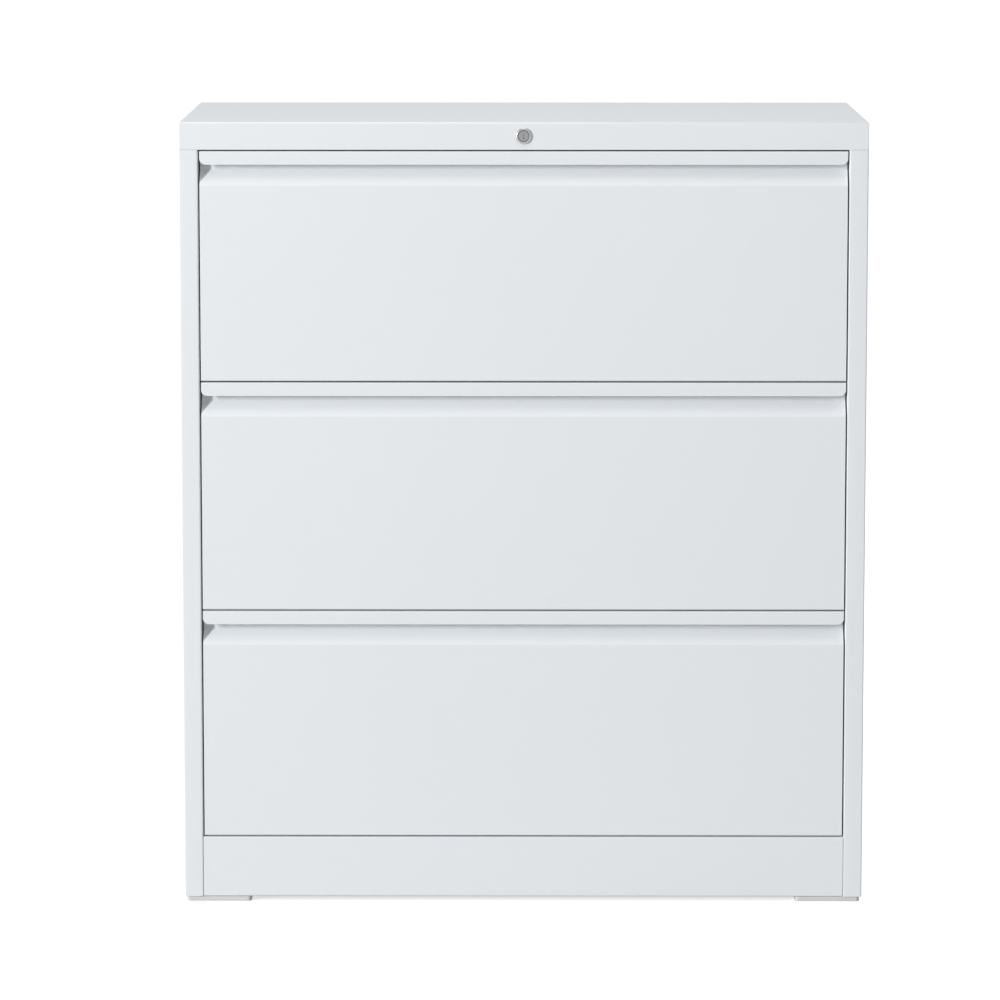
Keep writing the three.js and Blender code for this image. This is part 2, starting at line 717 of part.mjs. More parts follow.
// The link: a flat bar that slides along the shelf. The crank pin works in its upright slot,
// and its slot at 45 degrees raises the bar as far as the link moves to the left.
function lockLink() {
  const reach = PIN_RADIUS + SLOT_PLAY;
  const crankLow = LOCK_AXIS - CRANK_RADIUS;
  const crankHigh = LOCK_AXIS - CRANK_OFFSET;
  const barPin = CAP_BOTTOM + BAR_PIN_HEIGHT;
  const left = CRANK_OFFSET - reach - LINK_RIM;
  const right = BAR_MIDDLE + LOCK_TRAVEL + reach + LINK_RIM;
  const step = BAR_MIDDLE - reach - LINK_RIM;
  const low = crankHigh + reach + LINK_RIM;
  const high = barPin + LOCK_TRAVEL + reach + LINK_RIM;
  const outline = polygon([
    [left, LINK_BOTTOM],
    [right, LINK_BOTTOM],
    [right, high],
    [step + (high - low), high],
    [step, low],
    [left, low],
  ]);
  outline.holes.push(slot([CRANK_OFFSET, crankLow], [CRANK_OFFSET, crankHigh], reach));
  outline.holes.push(slot([BAR_MIDDLE, barPin], [BAR_MIDDLE + LOCK_TRAVEL, barPin + LOCK_TRAVEL], reach));
  return carried(outline, "y", FRONT + LINK_FACE, FRONT + LINK_FACE + LINK_THICKNESS, CIRCLE_STEPS / 4);
}

// The bar inside the right-hand post: a strip with a finger for each drawer and a pin for the link.
function lockBar() {
  const pinHeight = CAP_BOTTOM + BAR_PIN_HEIGHT;
  const fingerTops = DRAWERS.map((_, row) => drawerBottom(row) + FINGER_TOP);
  const strip = block(
    [BAR_FACE, BAR_FACE + BAR_THICKNESS],
    [BAR_FRONT, BAR_FRONT + BAR_WIDTH],
    [fingerTops[0] - FINGER_HEIGHT - BAR_TAIL, pinHeight + PIN_RADIUS + PIN_RIM],
  );
  const fingers = fingerTops.map((top) =>
    block(
      [JAMB - FINGER_REACH, BAR_MIDDLE],
      [FINGER_MIDDLE - FINGER_THICKNESS / 2, FINGER_MIDDLE + FINGER_THICKNESS / 2],
      [top - FINGER_HEIGHT, top],
    ),
  );
  const pin = rod(PIN_RADIUS, FRONT + LINK_FACE - GUIDE_PLAY, BAR_FRONT + PIN_RADIUS);
  return joined(strip, ...fingers, pin.translate(BAR_MIDDLE, 0, pinHeight));
}

const cabinet = new THREE.Group();
const sides = [["left", -1], ["right", 1]];
const rows = DRAWERS.map((name, row) => ({ name, row, bottom: drawerBottom(row) }));

piece(cabinet, "left_side_panel", sidePanel(-1), paint);
piece(cabinet, "right_side_panel", cut(sidePanel(1), ...rows.map(({ row }) => fingerSlot(row))), paint);
piece(cabinet, "back_panel", backPanel(), paint);
piece(cabinet, "top_panel", topPanel(), paint);
piece(cabinet, "bottom_panel", bottomPanel(), paint);
piece(cabinet, "kick_plate", kickPlate(), paint);

for (const [name, side] of sides) {
  piece(cabinet, `${name}_rear_upright`, rearUpright(side), paint);
  for (const [end, face] of [["front", FRONT], ["rear", REAR]]) {
    const corner = new THREE.Group();
    const inwards = -Math.sign(face);
    corner.position.set(
      side * (HALF_WIDTH - FOOT_INSET - FOOT_WIDTH / 2),
      face + inwards * (FOOT_INSET + FOOT_LENGTH / 2),
      0,
    );
    piece(corner, `${end}_${name}_foot`, foot(), plastic);
    cabinet.add(corner);
  }
}

const lock = new THREE.Group();
lock.position.set(0, FRONT, LOCK_AXIS);
piece(lock, "lock_barrel", lockBarrel(), chrome);
piece(lock, "lock_plug", lockPlug(), chrome);
piece(lock, "lock_nut", lockNut(), zinc);
piece(lock, "lock_cam", lockCam(), zinc);
cabinet.add(lock);
piece(cabinet, "lock_link", lockLink(), zinc);
piece(cabinet, "lock_bar", lockBar(), zinc);

for (const { name, bottom } of rows) {
  const drawer = new THREE.Group();
  drawer.position.set(0, FRONT, bottom);
  cabinet.add(drawer);
  piece(drawer, `${name}_drawer_front`, drawerFront(), paint);
  piece(drawer, `${name}_drawer_inner_panel`, innerPanel(), paint);
  piece(drawer, `${name}_drawer_left_side`, drawerSide(-1), paint);
  piece(drawer, `${name}_drawer_right_side`, cut(drawerSide(1), fingerNotch()), paint);
  piece(drawer, `${name}_drawer_back`, drawerBack(), paint);
  piece(drawer, `${name}_drawer_floor`, drawerFloor(), paint);
  for (const [hand, side] of sides) {
    const railMiddle = side * (BOX_HALF - SHEET / 2 - HANGER_SPAN);
    piece(drawer, `${name}_drawer_${hand}_hanging_rail`, hangingRail(railMiddle), zinc);
    const slide = new THREE.Group();
    slide.position.set(side * JAMB, SLIDE_START, SLIDE_CENTRE);
    drawer.add(slide);
    piece(slide, `${name}_${hand}_slide_case_channel`, slideChannel(side, CASE_CHANNEL), zinc);
    piece(slide, `${name}_${hand}_slide_middle_channel`, middleChannel(side), zinc);
    piece(slide, `${name}_${hand}_slide_drawer_channel`, slideChannel(side, DRAWER_CHANNEL), zinc);
  }
}

export default cabinet;
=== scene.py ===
import json
from math import radians

import bmesh
import bpy
import numpy as np
from bpy.props import FloatProperty, FloatVectorProperty, IntProperty, PointerProperty
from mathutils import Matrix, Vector


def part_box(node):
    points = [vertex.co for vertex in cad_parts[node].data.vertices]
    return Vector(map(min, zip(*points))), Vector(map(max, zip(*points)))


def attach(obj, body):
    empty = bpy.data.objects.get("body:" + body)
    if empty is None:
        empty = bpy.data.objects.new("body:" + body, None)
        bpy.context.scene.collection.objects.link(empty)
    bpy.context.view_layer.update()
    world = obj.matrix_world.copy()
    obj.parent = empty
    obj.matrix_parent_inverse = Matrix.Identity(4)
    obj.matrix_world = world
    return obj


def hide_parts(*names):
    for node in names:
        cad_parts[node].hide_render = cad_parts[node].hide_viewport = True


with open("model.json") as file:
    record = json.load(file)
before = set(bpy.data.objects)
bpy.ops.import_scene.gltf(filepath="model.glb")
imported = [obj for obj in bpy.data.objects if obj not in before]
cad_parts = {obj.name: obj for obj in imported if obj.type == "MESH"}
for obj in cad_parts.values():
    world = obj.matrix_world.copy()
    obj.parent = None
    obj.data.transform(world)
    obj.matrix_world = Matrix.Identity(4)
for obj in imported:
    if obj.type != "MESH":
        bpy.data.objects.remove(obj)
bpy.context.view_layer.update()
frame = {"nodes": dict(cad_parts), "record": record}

bl_info = {
    "name": "Lateral Filing Cabinet",
    "version": (1, 0, 0),
    "blender": (4, 5, 0),
    "location": "3D View > Sidebar > Cabinet",
    "description": "Folded fronts, slides, lock, feet and finishes of a three-drawer lateral filing cabinet",
    "category": "Add Mesh",
}

ROWS = ("lower", "middle", "upper")
SIDES = {"left": -1.0, "right": 1.0}
CASE_SHEETS = ("left_side_panel", "right_side_panel", "back_panel", "top_panel", "bottom_panel",
               "kick_plate", "left_rear_upright", "right_rear_upright")
DRAWER_SHEETS = ("inner_panel", "left_side", "right_side", "back", "floor")
FEET = ("front_left_foot", "front_right_foot", "rear_left_foot", "rear_right_foot")

# Meshing: points this close are one, and edges this sharp stay crisp
SAME_POINT = 1e-7
SAME_COPY_POINT = 1e-6
FLAT_ANGLE = radians(0.5)
CRISP_ANGLE = radians(50)
CORNER_POINTS = 13

# Slides: where the balls start and end, and the strips round them
BALL_POLE = 0.25
BALL_START, BALL_END = 0.055, 0.05
STRIP_HALF_WIDTH, STRIP_OVERRUN = 0.0028, 0.006

# Screws: shares of the head's radius and height
SCREW_COUNT = 4
SCREW_SINK = 0.0001
SCREW_CROWN, SOCKET_RIM, SOCKET_FOOT, SOCKET_LEVEL = 0.6, 0.62, 0.68, 0.35

# Lock: how much wider than high the rim's rounding is, and the bevel of the bore
DOME_SPREAD = 1.5
BORE_BEVEL = 0.0002

# Weld dimples in the case's rear flanges
WELD_PITCH, WELD_ACROSS = 0.12, 0.442
WELD_RADIUS, WELD_EDGE = 0.002, 0.004
REAR_START, REAR_FULL = 0.2241, 0.2243

# Stage
LIT_POINT = (0.0, -0.225, 0.55)
FLOOR_REACH = 60.0
WHITE, BLACK = (1.0, 1.0, 1.0, 1.0), (0.0, 0.0, 0.0, 1.0)


def length(name, description, default):
    """A property in metres."""
    return FloatProperty(name=name, description=description, default=default, min=0.0,
                         precision=5, unit="LENGTH", subtype="DISTANCE")


def colour(name, description, default):
    """A property that holds a colour."""
    return FloatVectorProperty(name=name, description=description, default=default, size=4,
                               min=0.0, max=1.0, subtype="COLOR")


def angle(name, description, degrees):
    """A property that holds an angle, its default given in degrees."""
    return FloatProperty(name=name, description=description, default=radians(degrees),
                         unit="ROTATION", subtype="ANGLE")


def number(name, description, default):
    """A plain number from 0 up."""
    return FloatProperty(name=name, description=description, default=default, min=0.0)


class CabinetSizes(bpy.types.PropertyGroup):
    """Sizes of the folded sheets and the small pieces."""

    sheet: length("Sheet", "Thickness of the folded steel", 0.0008)
    bend: length("Bend", "Inside radius of a fold", 0.001)
    soft_bend: length("Soft bend", "Inside radius of the fold between the face and the recess", 0.003)
    bend_steps: IntProperty(name="Bend steps", description="Strips round one fold", default=8, min=2)
    pull_height: length("Pull height", "Height of recess and lip together", 0.0442)
    pull_depth: length("Pull depth", "How far the finger recess goes back", 0.015)
    slope_height: length("Slope height", "Height of the slope from the face into the recess", 0.0196)
    lip_height: length("Lip height", "Height of the lip over the recess", 0.0175)
    lip_corner: length("Lip corner", "Radius of the lip's lower corners", 0.008)
    foot_corner: length("Foot corner", "Radius of a foot's corners seen from above", 0.005)
    foot_edge: length("Foot edge", "Rounding of a foot's upper and lower edge", 0.0008)
    slide_sheet: length("Slide sheet", "Thickness of the slide channels", 0.0012)
    ball: length("Ball", "Diameter of a slide ball", 0.0046)
    ball_pitch: length("Ball pitch", "Distance from one ball to the next", 0.014)
    retainer: length("Retainer", "Thickness of the strip that holds the balls", 0.0005)
    screw_radius: length("Screw radius", "Radius of a screw head on a slide", 0.0032)
    screw_height: length("Screw height", "Height of a screw head on a slide", 0.0012)
    screw_inset: length("Screw inset", "Distance of the end screws from the ends of a slide", 0.035)
    lock_proud: length("Lock proud", "How far the lock's flange stands out", 0.003)
    lock_dome: length("Lock dome", "Rounding of the flange's rim", 0.0016)
    lock_bore: length("Lock bore", "Radius of the barrel's counterbore", 0.0073)
    lock_shank_bore: length("Lock shank bore", "Radius of the barrel's bore", 0.0063)
    lock_body: length("Lock body", "Radius of the barrel behind the flange", 0.008)
    lock_head: length("Lock head", "Depth of the barrel's counterbore", 0.0019)
    lock_height: length("Lock height", "Height of the lock's axis over the floor", 1.018)


class CabinetFinishes(bpy.types.PropertyGroup):
    """Colours of the finishes, in linear light."""

    coat: colour("Coat", "Powder coat", (0.85, 0.882, 0.908, 1.0))
    coat_shade: colour("Coat, darker", "Powder coat where it is a little darker", (0.83, 0.862, 0.888, 1.0))
    zinc: colour("Zinc", "Bright zinc plate", (0.49, 0.504, 0.518, 1.0))
    zinc_shade: colour("Zinc, darker", "Darker flakes of the zinc plate", (0.35, 0.363, 0.376, 1.0))
    chrome: colour("Chrome", "Plated flange of the lock", (0.44, 0.445, 0.45, 1.0))
    chrome_shade: colour("Chrome, darker", "Dull plug of the lock", (0.3, 0.305, 0.31, 1.0))
    # The dark ring round the lock's plug is grease and also painted shade, standing in for the shade in the
    # joint between plug and barrel
    grease_and_shade: colour("Grease", "Grease in the joint round the plug", (0.07, 0.07, 0.075, 1.0))
    foot: colour("Feet", "Moulded plastic", (0.735, 0.735, 0.745, 1.0))
    foot_shade: colour("Feet, darker", "Hollows of the moulded grain", (0.68, 0.68, 0.69, 1.0))


class CabinetStage(bpy.types.PropertyGroup):
    """Where the view is taken from, and the light."""

    eye_x: FloatProperty(name="Eye across", description="Camera across", default=0.0011, unit="LENGTH")
    eye_y: FloatProperty(name="Eye along", description="Camera along the depth", default=-6.695,
                         unit="LENGTH")
    eye_z: FloatProperty(name="Eye height", description="Camera height", default=1.432, unit="LENGTH")
    tilt: angle("Tilt", "How far the camera looks down", 7.855)
    pan: angle("Pan", "How far the camera is turned to the left", 0.282)
    lens: number("Lens", "Focal length in millimetres on a 36 mm frame", 178.7)
    key_power: number("Key power", "Watts of the lamp on the left", 880.0)
    key_width: length("Key width", "Width of the lamp on the left", 1.0)
    key_height: length("Key height", "Height of the lamp on the left", 3.5)
    key_distance: length("Key distance", "Distance of the lamp on the left", 11.0)
    key_turn: angle("Key turn", "How far to the left the lamp stands", 51.0)
    key_rise: angle("Key rise", "How far above the middle the lamp stands", 12.3)
    high_power: number("High power", "Watts of the soft lamp overhead", 13.5)
    high_size: length("High size", "Side of the soft lamp overhead", 1.6)
    high_ahead: length("High ahead", "How far in front of the cabinet the lamp overhead hangs", 0.4)
    high_level: length("High level", "Height of the lamp overhead", 3.2)
    fill_power: number("Fill power", "Watts of the lamp behind", 98.0)
    fill_size: length("Fill size", "Side of the lamp behind", 0.9)
    fill_distance: length("Fill distance", "Distance of the lamp behind", 5.2)
    fill_turn: angle("Fill turn", "How far to the left the lamp behind stands", -130.0)
    fill_rise: angle("Fill rise", "How far above the middle the lamp behind stands", 0.0)
    sky: number("Sky", "Even light from all round", 0.462)
    floor: colour("Floor", "Floor as the cabinet is lit by it", (0.45, 0.45, 0.45, 1.0))
    floor_seen: colour("Floor, seen", "Floor as the camera sees it", (0.77, 0.77, 0.77, 1.0))
    floor_glow: number("Floor glow", "White that the floor adds for the camera", 0.68)


# Surfaces


def bent_line(corners, radii, steps):
    """Middle line of a folded sheet: straight runs joined by arcs.

    Each arc touches both of its runs. Its centre lies one radius to the inner side of them, and its
    points are the centre plus the radius in evenly turned directions. Gives points and normals.
    """
    corners = np.asarray(corners, float)
    runs = np.diff(corners, axis=0)
    runs /= np.linalg.norm(runs, axis=1, keepdims=True)
    left = np.stack([-runs[:, 1], runs[:, 0]], axis=1)
    before, after = runs[:-1], runs[1:]
    turn = np.arctan2(before[:, 0] * after[:, 1] - before[:, 1] * after[:, 0], (before * after).sum(axis=1))
    reach = np.sign(turn) * radii
    starts = corners[1:-1] - before * (np.abs(reach) * np.tan(np.abs(turn) / 2))[:, None]
    centres = starts + left[:-1] * reach[:, None]
    heading = np.arctan2(left[:-1, 1], left[:-1, 0])[:, None] + turn[:, None] * np.linspace(0, 1, steps + 1)
    normals = np.stack([np.cos(heading), np.sin(heading)], axis=-1)
    points = centres[:, None] - normals * reach[:, None, None]
    return (np.concatenate([corners[:1], points.reshape(-1, 2), corners[-1:]]),
            np.concatenate([left[:1], normals.reshape(-1, 2), left[-1:]]))


def carried_sheet(points, normals, thickness, low, high, order):
    """A sheet carried straight along one axis.

    Its two faces are the middle line plus and minus half the thickness along the normal. Each point
    of the line runs from low to high, which may differ from point to point. order names the columns
    (along, first, second) that become x, y and z.
    """
    count = len(points)
    loop = np.concatenate([points + normals * thickness / 2, (points - normals * thickness / 2)[::-1]])
    ends = np.stack([np.broadcast_to(low, count), np.broadcast_to(high, count)])
    along = np.concatenate([ends, ends[:, ::-1]], axis=1)
    grid = np.concatenate([along[..., None], np.broadcast_to(loop, (2, 2 * count, 2))], axis=-1)
    i = np.arange(2 * count)
    after = (i + 1) % (2 * count)
    skin = np.stack([i, after, after + 2 * count, i + 2 * count], axis=1)
    j = np.arange(count - 1)
    cap = np.stack([j, 2 * count - 1 - j, 2 * count - 2 - j, j + 1], axis=1)
    faces = np.concatenate([skin, cap, cap + 2 * count])
    return grid.reshape(-1, 3)[:, order], faces.tolist()


def ringed(path, outward, profile, order=(0, 1, 2), closed=False):
    """A profile carried round a closed path.

    Ring j lies profile[j, 0] inside the path, square to it, at the height profile[j, 1]. The first and
    last rings are capped flat, or joined to each other where the profile is closed.
    """
    profile = np.asarray(profile, float)
    rings, count = len(profile), len(path)
    flat = path[None] - profile[:, :1, None] * outward[None]
    height = np.broadcast_to(profile[:, 1:, None], (rings, count, 1))
    j = np.arange(rings if closed else rings - 1)[:, None] * count
    i = np.arange(count)[None]
    after, above = (i + 1) % count, (j + count) % (rings * count)
    faces = np.stack([j + i, j + after, above + after, above + i], axis=-1).reshape(-1, 4).tolist()
    if not closed:
        faces += [list(range(count)), list(range((rings - 1) * count, rings * count))]
    return np.concatenate([flat, height], axis=-1).reshape(-1, 3)[:, order], faces


def rounded_path(half_x, half_y, radius, steps):
    """A rectangle with round corners: in each corner the centre plus the radius in turned directions."""
    turn = (np.arange(4)[:, None] * np.pi / 2 + np.linspace(0, np.pi / 2, steps + 1)).ravel()
    outward = np.stack([np.cos(turn), np.sin(turn)], axis=1)
    corner = np.repeat([[1, 1], [-1, 1], [-1, -1], [1, -1]], steps + 1, axis=0)
    return corner * [half_x - radius, half_y - radius] + outward * radius, outward


def circle(radius, steps):
    """A circle: the radius in evenly turned directions. Gives points and outward directions."""
    turn = np.linspace(0, 2 * np.pi, steps, endpoint=False)
    outward = np.stack([np.cos(turn), np.sin(turn)], axis=1)
    return outward * radius, outward


def repeated(surface, centres):
    """One surface set down at every centre: each copy's points are the surface's plus the centre."""
    points, faces = surface
    stride = len(points)
    spread = (points[None] + np.asarray(centres)[:, None]).reshape(-1, 3)
    quads = [face for face in faces if len(face) == 4]
    rest = [face for face in faces if len(face) != 4]
    steps = np.arange(len(centres)) * stride
    out = (np.asarray(quads)[None] + steps[:, None, None]).reshape(-1, 4).tolist()
    for face in rest:
        out += (np.asarray(face)[None] + steps[:, None]).tolist()
    return spread, out


def piece(name, surfaces, slot, body, nodes=()):
    """One object from closed surfaces, with smooth folds and crisp edges, riding on a body."""
    counts = np.cumsum([0] + [len(points) for points, _ in surfaces])
    points = np.concatenate([points for points, _ in surfaces])
    faces = [[index + start for index in face]
             for start, (_, group) in zip(counts, surfaces) for face in group]
    mesh = bpy.data.meshes.new(name)
    mesh.from_pydata(points.tolist(), [], faces)
    return settled(name, mesh, slot, body, nodes)


def settled(name, mesh, slot, body, nodes):
    """An object from a mesh: merged, turned outwards, shaded and finished, riding on a body."""
    shape = bmesh.new()
    shape.from_mesh(mesh)
    bmesh.ops.remove_doubles(shape, verts=shape.verts, dist=SAME_POINT)
    bmesh.ops.recalc_face_normals(shape, faces=shape.faces)
    shape.to_mesh(mesh)
    shape.free()
    mesh.shade_smooth()
    mesh.set_sharp_from_angle(angle=CRISP_ANGLE)
    obj = bpy.data.objects.new(name, mesh)
    bpy.context.scene.collection.objects.link(obj)
    even = obj.modifiers.new("even_shading", "WEIGHTED_NORMAL")
    even.keep_sharp = True
    mesh.materials.clear()
    mesh.materials.append(finish(slot))
    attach(obj, body)
    if nodes:
        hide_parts(*nodes)
    return obj


def smooth_copy(name, slot, body):
    """The same sheet with its flat strips joined and its folds shaded round."""
    mesh = frame["nodes"][name].data.copy()
    shape = bmesh.new()
    shape.from_mesh(mesh)
    bmesh.ops.remove_doubles(shape, verts=shape.verts, dist=SAME_COPY_POINT)
    bmesh.ops.dissolve_limit(shape, angle_limit=FLAT_ANGLE, verts=shape.verts, edges=shape.edges)
    shape.to_mesh(mesh)
    shape.free()
    return settled(name + "_sheet", mesh, slot, body, (name,))


# Finishes


class Wire:
    """A socket that can be added, multiplied and so on; each sign puts in one Math node."""

    def __init__(self, tree, socket):
        self.tree, self.socket = tree, socket

    def math(self, operation, *values):
        return node(self.tree, "ShaderNodeMath", {"operation": operation}, dict(enumerate(values)))

    def __add__(self, other):
        return self.math("ADD", self, other)

    def __sub__(self, other):
        return self.math("SUBTRACT", self, other)

    def __mul__(self, other):
        return self.math("MULTIPLY", self, other)

    def __truediv__(self, other):
        return self.math("DIVIDE", self, other)

    def __rsub__(self, other):
        return self.math("SUBTRACT", other, self)

    def __rtruediv__(self, other):
        return self.math("DIVIDE", other, self)

    def __abs__(self):
        return self.math("ABSOLUTE", self)

    def __pow__(self, other):
        return self.math("POWER", self, other)

    __radd__ = __add__
    __rmul__ = __mul__


def node(tree, kind, settings=None, sockets=None, output=0):
    """Adds a node: its settings first, then the values or links of its sockets.

    Gives one of its outputs, or nothing for a node that has none.
    """
    made = tree.nodes.new(kind)
    for name, value in (settings or {}).items():
        setattr(made, name, value)
    for name, value in (sockets or {}).items():
        if isinstance(value, Wire):
            tree.links.new(value.socket, made.inputs[name])
        else:
            made.inputs[name].default_value = value
    return Wire(tree, made.outputs[output]) if made.outputs else None


def outputs_of(wire, names):
    """Several outputs of the node that a wire comes from."""
    return [Wire(wire.tree, wire.socket.node.outputs[name]) for name in names]


def split(tree, place):
    """The three numbers of a place."""
    return outputs_of(node(tree, "ShaderNodeSeparateXYZ", None, {"Vector": place}), "XYZ")


def bare_tree(owner):
    """The emptied node tree of a material or a world."""
    owner.use_nodes = True
    owner.node_tree.nodes.clear()
    return owner.node_tree


def noise(tree, where, scale, detail=2.0):
    """Soft noise from 0 to 1, scale being its lumps to a metre."""
    return node(tree, "ShaderNodeTexNoise", None, {"Vector": where, "Scale": scale, "Detail": detail})


def mixed(tree, factor, first, second):
    """The first colour at 0, the second at 1."""
    return node(tree, "ShaderNodeMix", {"data_type": "RGBA"}, {0: factor, 6: first, 7: second}, 2)


def ramp(tree, value, low, high):
    """0 up to low, 1 from high on, smooth between."""
    return node(tree, "ShaderNodeMapRange", {"interpolation_type": "SMOOTHSTEP"},
                {"Value": value, "From Min": low, "From Max": high})


def bump(tree, height, strength, distance):
    """A normal that leans as a skin of this height in metres would."""
    return node(tree, "ShaderNodeBump", None, {"Height": height, "Strength": strength, "Distance": distance})


def surface(name, build):
    """A material whose shader sockets come from build(tree, place), place being object coordinates."""
    material = bpy.data.materials.new(name)
    tree = bare_tree(material)
    place = node(tree, "ShaderNodeTexCoord", None, None, "Object")
    shader = node(tree, "ShaderNodeBsdfPrincipled", None, build(tree, place))
    node(tree, "ShaderNodeOutputMaterial", None, {"Surface": shader})
    return material


def powder_coat(tree, place):
    """Matt powder coat: faint clouds in the colour, orange peel in the skin, weld dimples at the rear.

    A dimple is a disc round each point of an upright row on either side, where the sheet faces back.
    """
    finishes = bpy.context.scene.cabinet_finishes
    clouds = noise(tree, place, 3.0)
    peel = noise(tree, place, 700.0, 1.0)
    x, y, z = split(tree, place)
    row = z.math("FRACT", z / WELD_PITCH) - 0.5
    aside = abs(x) - WELD_ACROSS
    spot = ((row * WELD_PITCH) ** 2.0 + aside * aside) ** 0.5
    weld = (1.0 - ramp(tree, spot, WELD_RADIUS, WELD_EDGE)) * ramp(tree, y, REAR_START, REAR_FULL)
    return {
        "Base Color": mixed(tree, clouds, finishes.coat_shade, finishes.coat),
        "Roughness": 0.8 + 0.1 * noise(tree, place, 11.0),
        "Normal": bump(tree, peel * 0.00003 - weld * 0.0003, 1.0, 1.0),
        "Specular IOR Level": 0.3,
    }


def zinc_plate(tree, place):
    """Bright zinc: flakes of two greys and fine scratches drawn along the depth."""
    finishes = bpy.context.scene.cabinet_finishes
    stretched = node(tree, "ShaderNodeMapping", None, {"Vector": place, "Scale": (1.0, 0.03, 1.0)})
    scratches = noise(tree, stretched, 2400.0, 3.0)
    flakes = node(tree, "ShaderNodeTexVoronoi", None, {"Vector": place, "Scale": 260.0}, "Color")
    grey = node(tree, "ShaderNodeRGBToBW", None, {"Color": flakes})
    return {
        "Base Color": mixed(tree, grey * 0.6 + scratches * 0.4, finishes.zinc_shade, finishes.zinc),
        "Metallic": 1.0,
        "Roughness": 0.34 + 0.16 * scratches,
        "Normal": bump(tree, scratches * 0.00002, 0.6, 1.0),
    }


def lock_chrome(tree, place):
    """Plated brass: a bright flange, a dull plug, rings left by turning, and round the plug a dark ring of
    grease and painted shade.

    All four follow the distance from the lock's axis.
    """
    finishes = bpy.context.scene.cabinet_finishes
    sizes = bpy.context.scene.cabinet_sizes
    x, _, height = split(tree, place)
    z = height - sizes.lock_height
    radius = (x * x + z * z) ** 0.5
    rings = radius.math("SINE", radius * 16000.0) * 0.5 + 0.5
    specks = noise(tree, place, 900.0)
    plug = 1.0 - ramp(tree, radius, sizes.lock_bore - 0.0004, sizes.lock_bore)
    # Dark ring round the plug: grease, and painted shade where the joint between plug and barrel lies in
    # shade
    grease_and_shade = 1.0 - ramp(tree, abs(radius - sizes.lock_bore), 0.0002, 0.0012)
    plating = mixed(tree, plug * (0.7 + 0.3 * rings) + 0.2 * specks, finishes.chrome, finishes.chrome_shade)
    return {
        "Base Color": mixed(tree, grease_and_shade * 0.65, plating, finishes.grease_and_shade),
        "Metallic": 1.0,
        "Roughness": 0.18 + 0.14 * specks + 0.2 * grease_and_shade,
        "Normal": bump(tree, rings * 0.000003, 0.5, 1.0),
    }


def foot_plastic(tree, place):
    """Moulded plastic: a fine leathery grain in the skin and in the colour."""
    finishes = bpy.context.scene.cabinet_finishes
    grain = noise(tree, place, 1500.0, 2.0)
    return {
        "Base Color": mixed(tree, ramp(tree, grain, 0.35, 0.6), finishes.foot_shade, finishes.foot),
        "Roughness": 0.5 + 0.15 * grain,
        "Normal": bump(tree, grain * 0.00006, 0.7, 1.0),
    }


BUILDERS = {"powder_coat": powder_coat, "zinc_plate": zinc_plate,
            "lock_chrome": lock_chrome, "foot_plastic": foot_plastic}


def finish(slot):
    """The material of a slot, made once."""
    return bpy.data.materials.get(slot + "_finish") or surface(slot + "_finish", BUILDERS[slot])


def slot_of(name):
    """The material slot that the record gives a node."""
    return next(part["material_slot"] for part in frame["record"]["subparts"] if part["node"] == name)


# Pieces


class CABINET_OT_nodes(bpy.types.Operator):
    """Gives every piece of the model its procedural finish."""

    bl_idname = "cabinet.nodes"
    bl_label = "Finish the model"

    def execute(self, context):
        for name, obj in frame["nodes"].items():
            for place in obj.material_slots:
                place.link = "OBJECT"
                place.material = finish(slot_of(name))
        return {"FINISHED"}


class CABINET_OT_sheets(bpy.types.Operator):
    """Shades the folds of the case's and the drawers' sheets round."""

    bl_idname = "cabinet.sheets"
    bl_label = "Folded sheets"

    def execute(self, context):
        for name in CASE_SHEETS:
            smooth_copy(name, slot_of(name), "case")
        for row in ROWS:
            for part in DRAWER_SHEETS:
                name = f"{row}_drawer_{part}"
                smooth_copy(name, slot_of(name), f"{row}_drawer")
        return {"FINISHED"}


class CABINET_OT_fronts(bpy.types.Operator):
    """Folds each drawer front from one sheet: flange, face, slope, recess, top and lip."""

    bl_idname = "cabinet.fronts"
    bl_label = "Drawer fronts"

    def execute(self, context):
        s = context.scene.cabinet_sizes
        for row in ROWS:
            name = f"{row}_drawer_front"
            low, high = (np.array(corner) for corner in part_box(name))
            face, recess = low[1] + s.sheet / 2, low[1] + s.pull_depth + s.sheet / 2
            bottom, top = low[2] + s.sheet / 2, high[2] - s.sheet / 2
            foot, lip = high[2] - s.pull_height, high[2] - s.lip_height
            plain, soft = s.bend + s.sheet / 2, s.soft_bend + s.sheet / 2
            ledge = foot + s.slope_height
            corners = [(high[1], bottom), (face, bottom), (face, foot), (recess, ledge),
                       (recess, top), (face, top), (face, lip)]
            points, normals = bent_line(corners, np.array([plain, soft, soft, plain, plain]), s.bend_steps)
            # The lip's lower corners: the edge draws in as a quarter circle over its last part
            turn = np.linspace(0, np.pi / 2, CORNER_POINTS)
            drop = np.stack([np.full(CORNER_POINTS, face), lip + s.lip_corner * (1 - np.sin(turn))], axis=1)
            points = np.concatenate([points[:-1], drop])
            normals = np.concatenate([normals[:-1], np.repeat(normals[-1:], CORNER_POINTS, axis=0)])
            inset = np.zeros(len(points))
            inset[-CORNER_POINTS:] = s.lip_corner * (1 - np.cos(turn))
            skin = carried_sheet(points, normals, s.sheet, low[0] + inset, high[0] - inset, [0, 1, 2])
            # A plate closes each end below the lip
            inner = low[1] + s.sheet
            plate = np.array([(inner, low[2] + s.sheet), (high[1], low[2] + s.sheet), (high[1], ledge),
                              (recess, ledge), (inner, foot)])
            ends = [ringed(plate, np.zeros((5, 2)), [(0, x), (0, x + s.sheet)], [2, 0, 1])
                    for x in (low[0], high[0] - s.sheet)]
            piece(f"{row}_folded_front", [skin, *ends], "powder_coat", f"{row}_drawer", (name,))
        return {"FINISHED"}


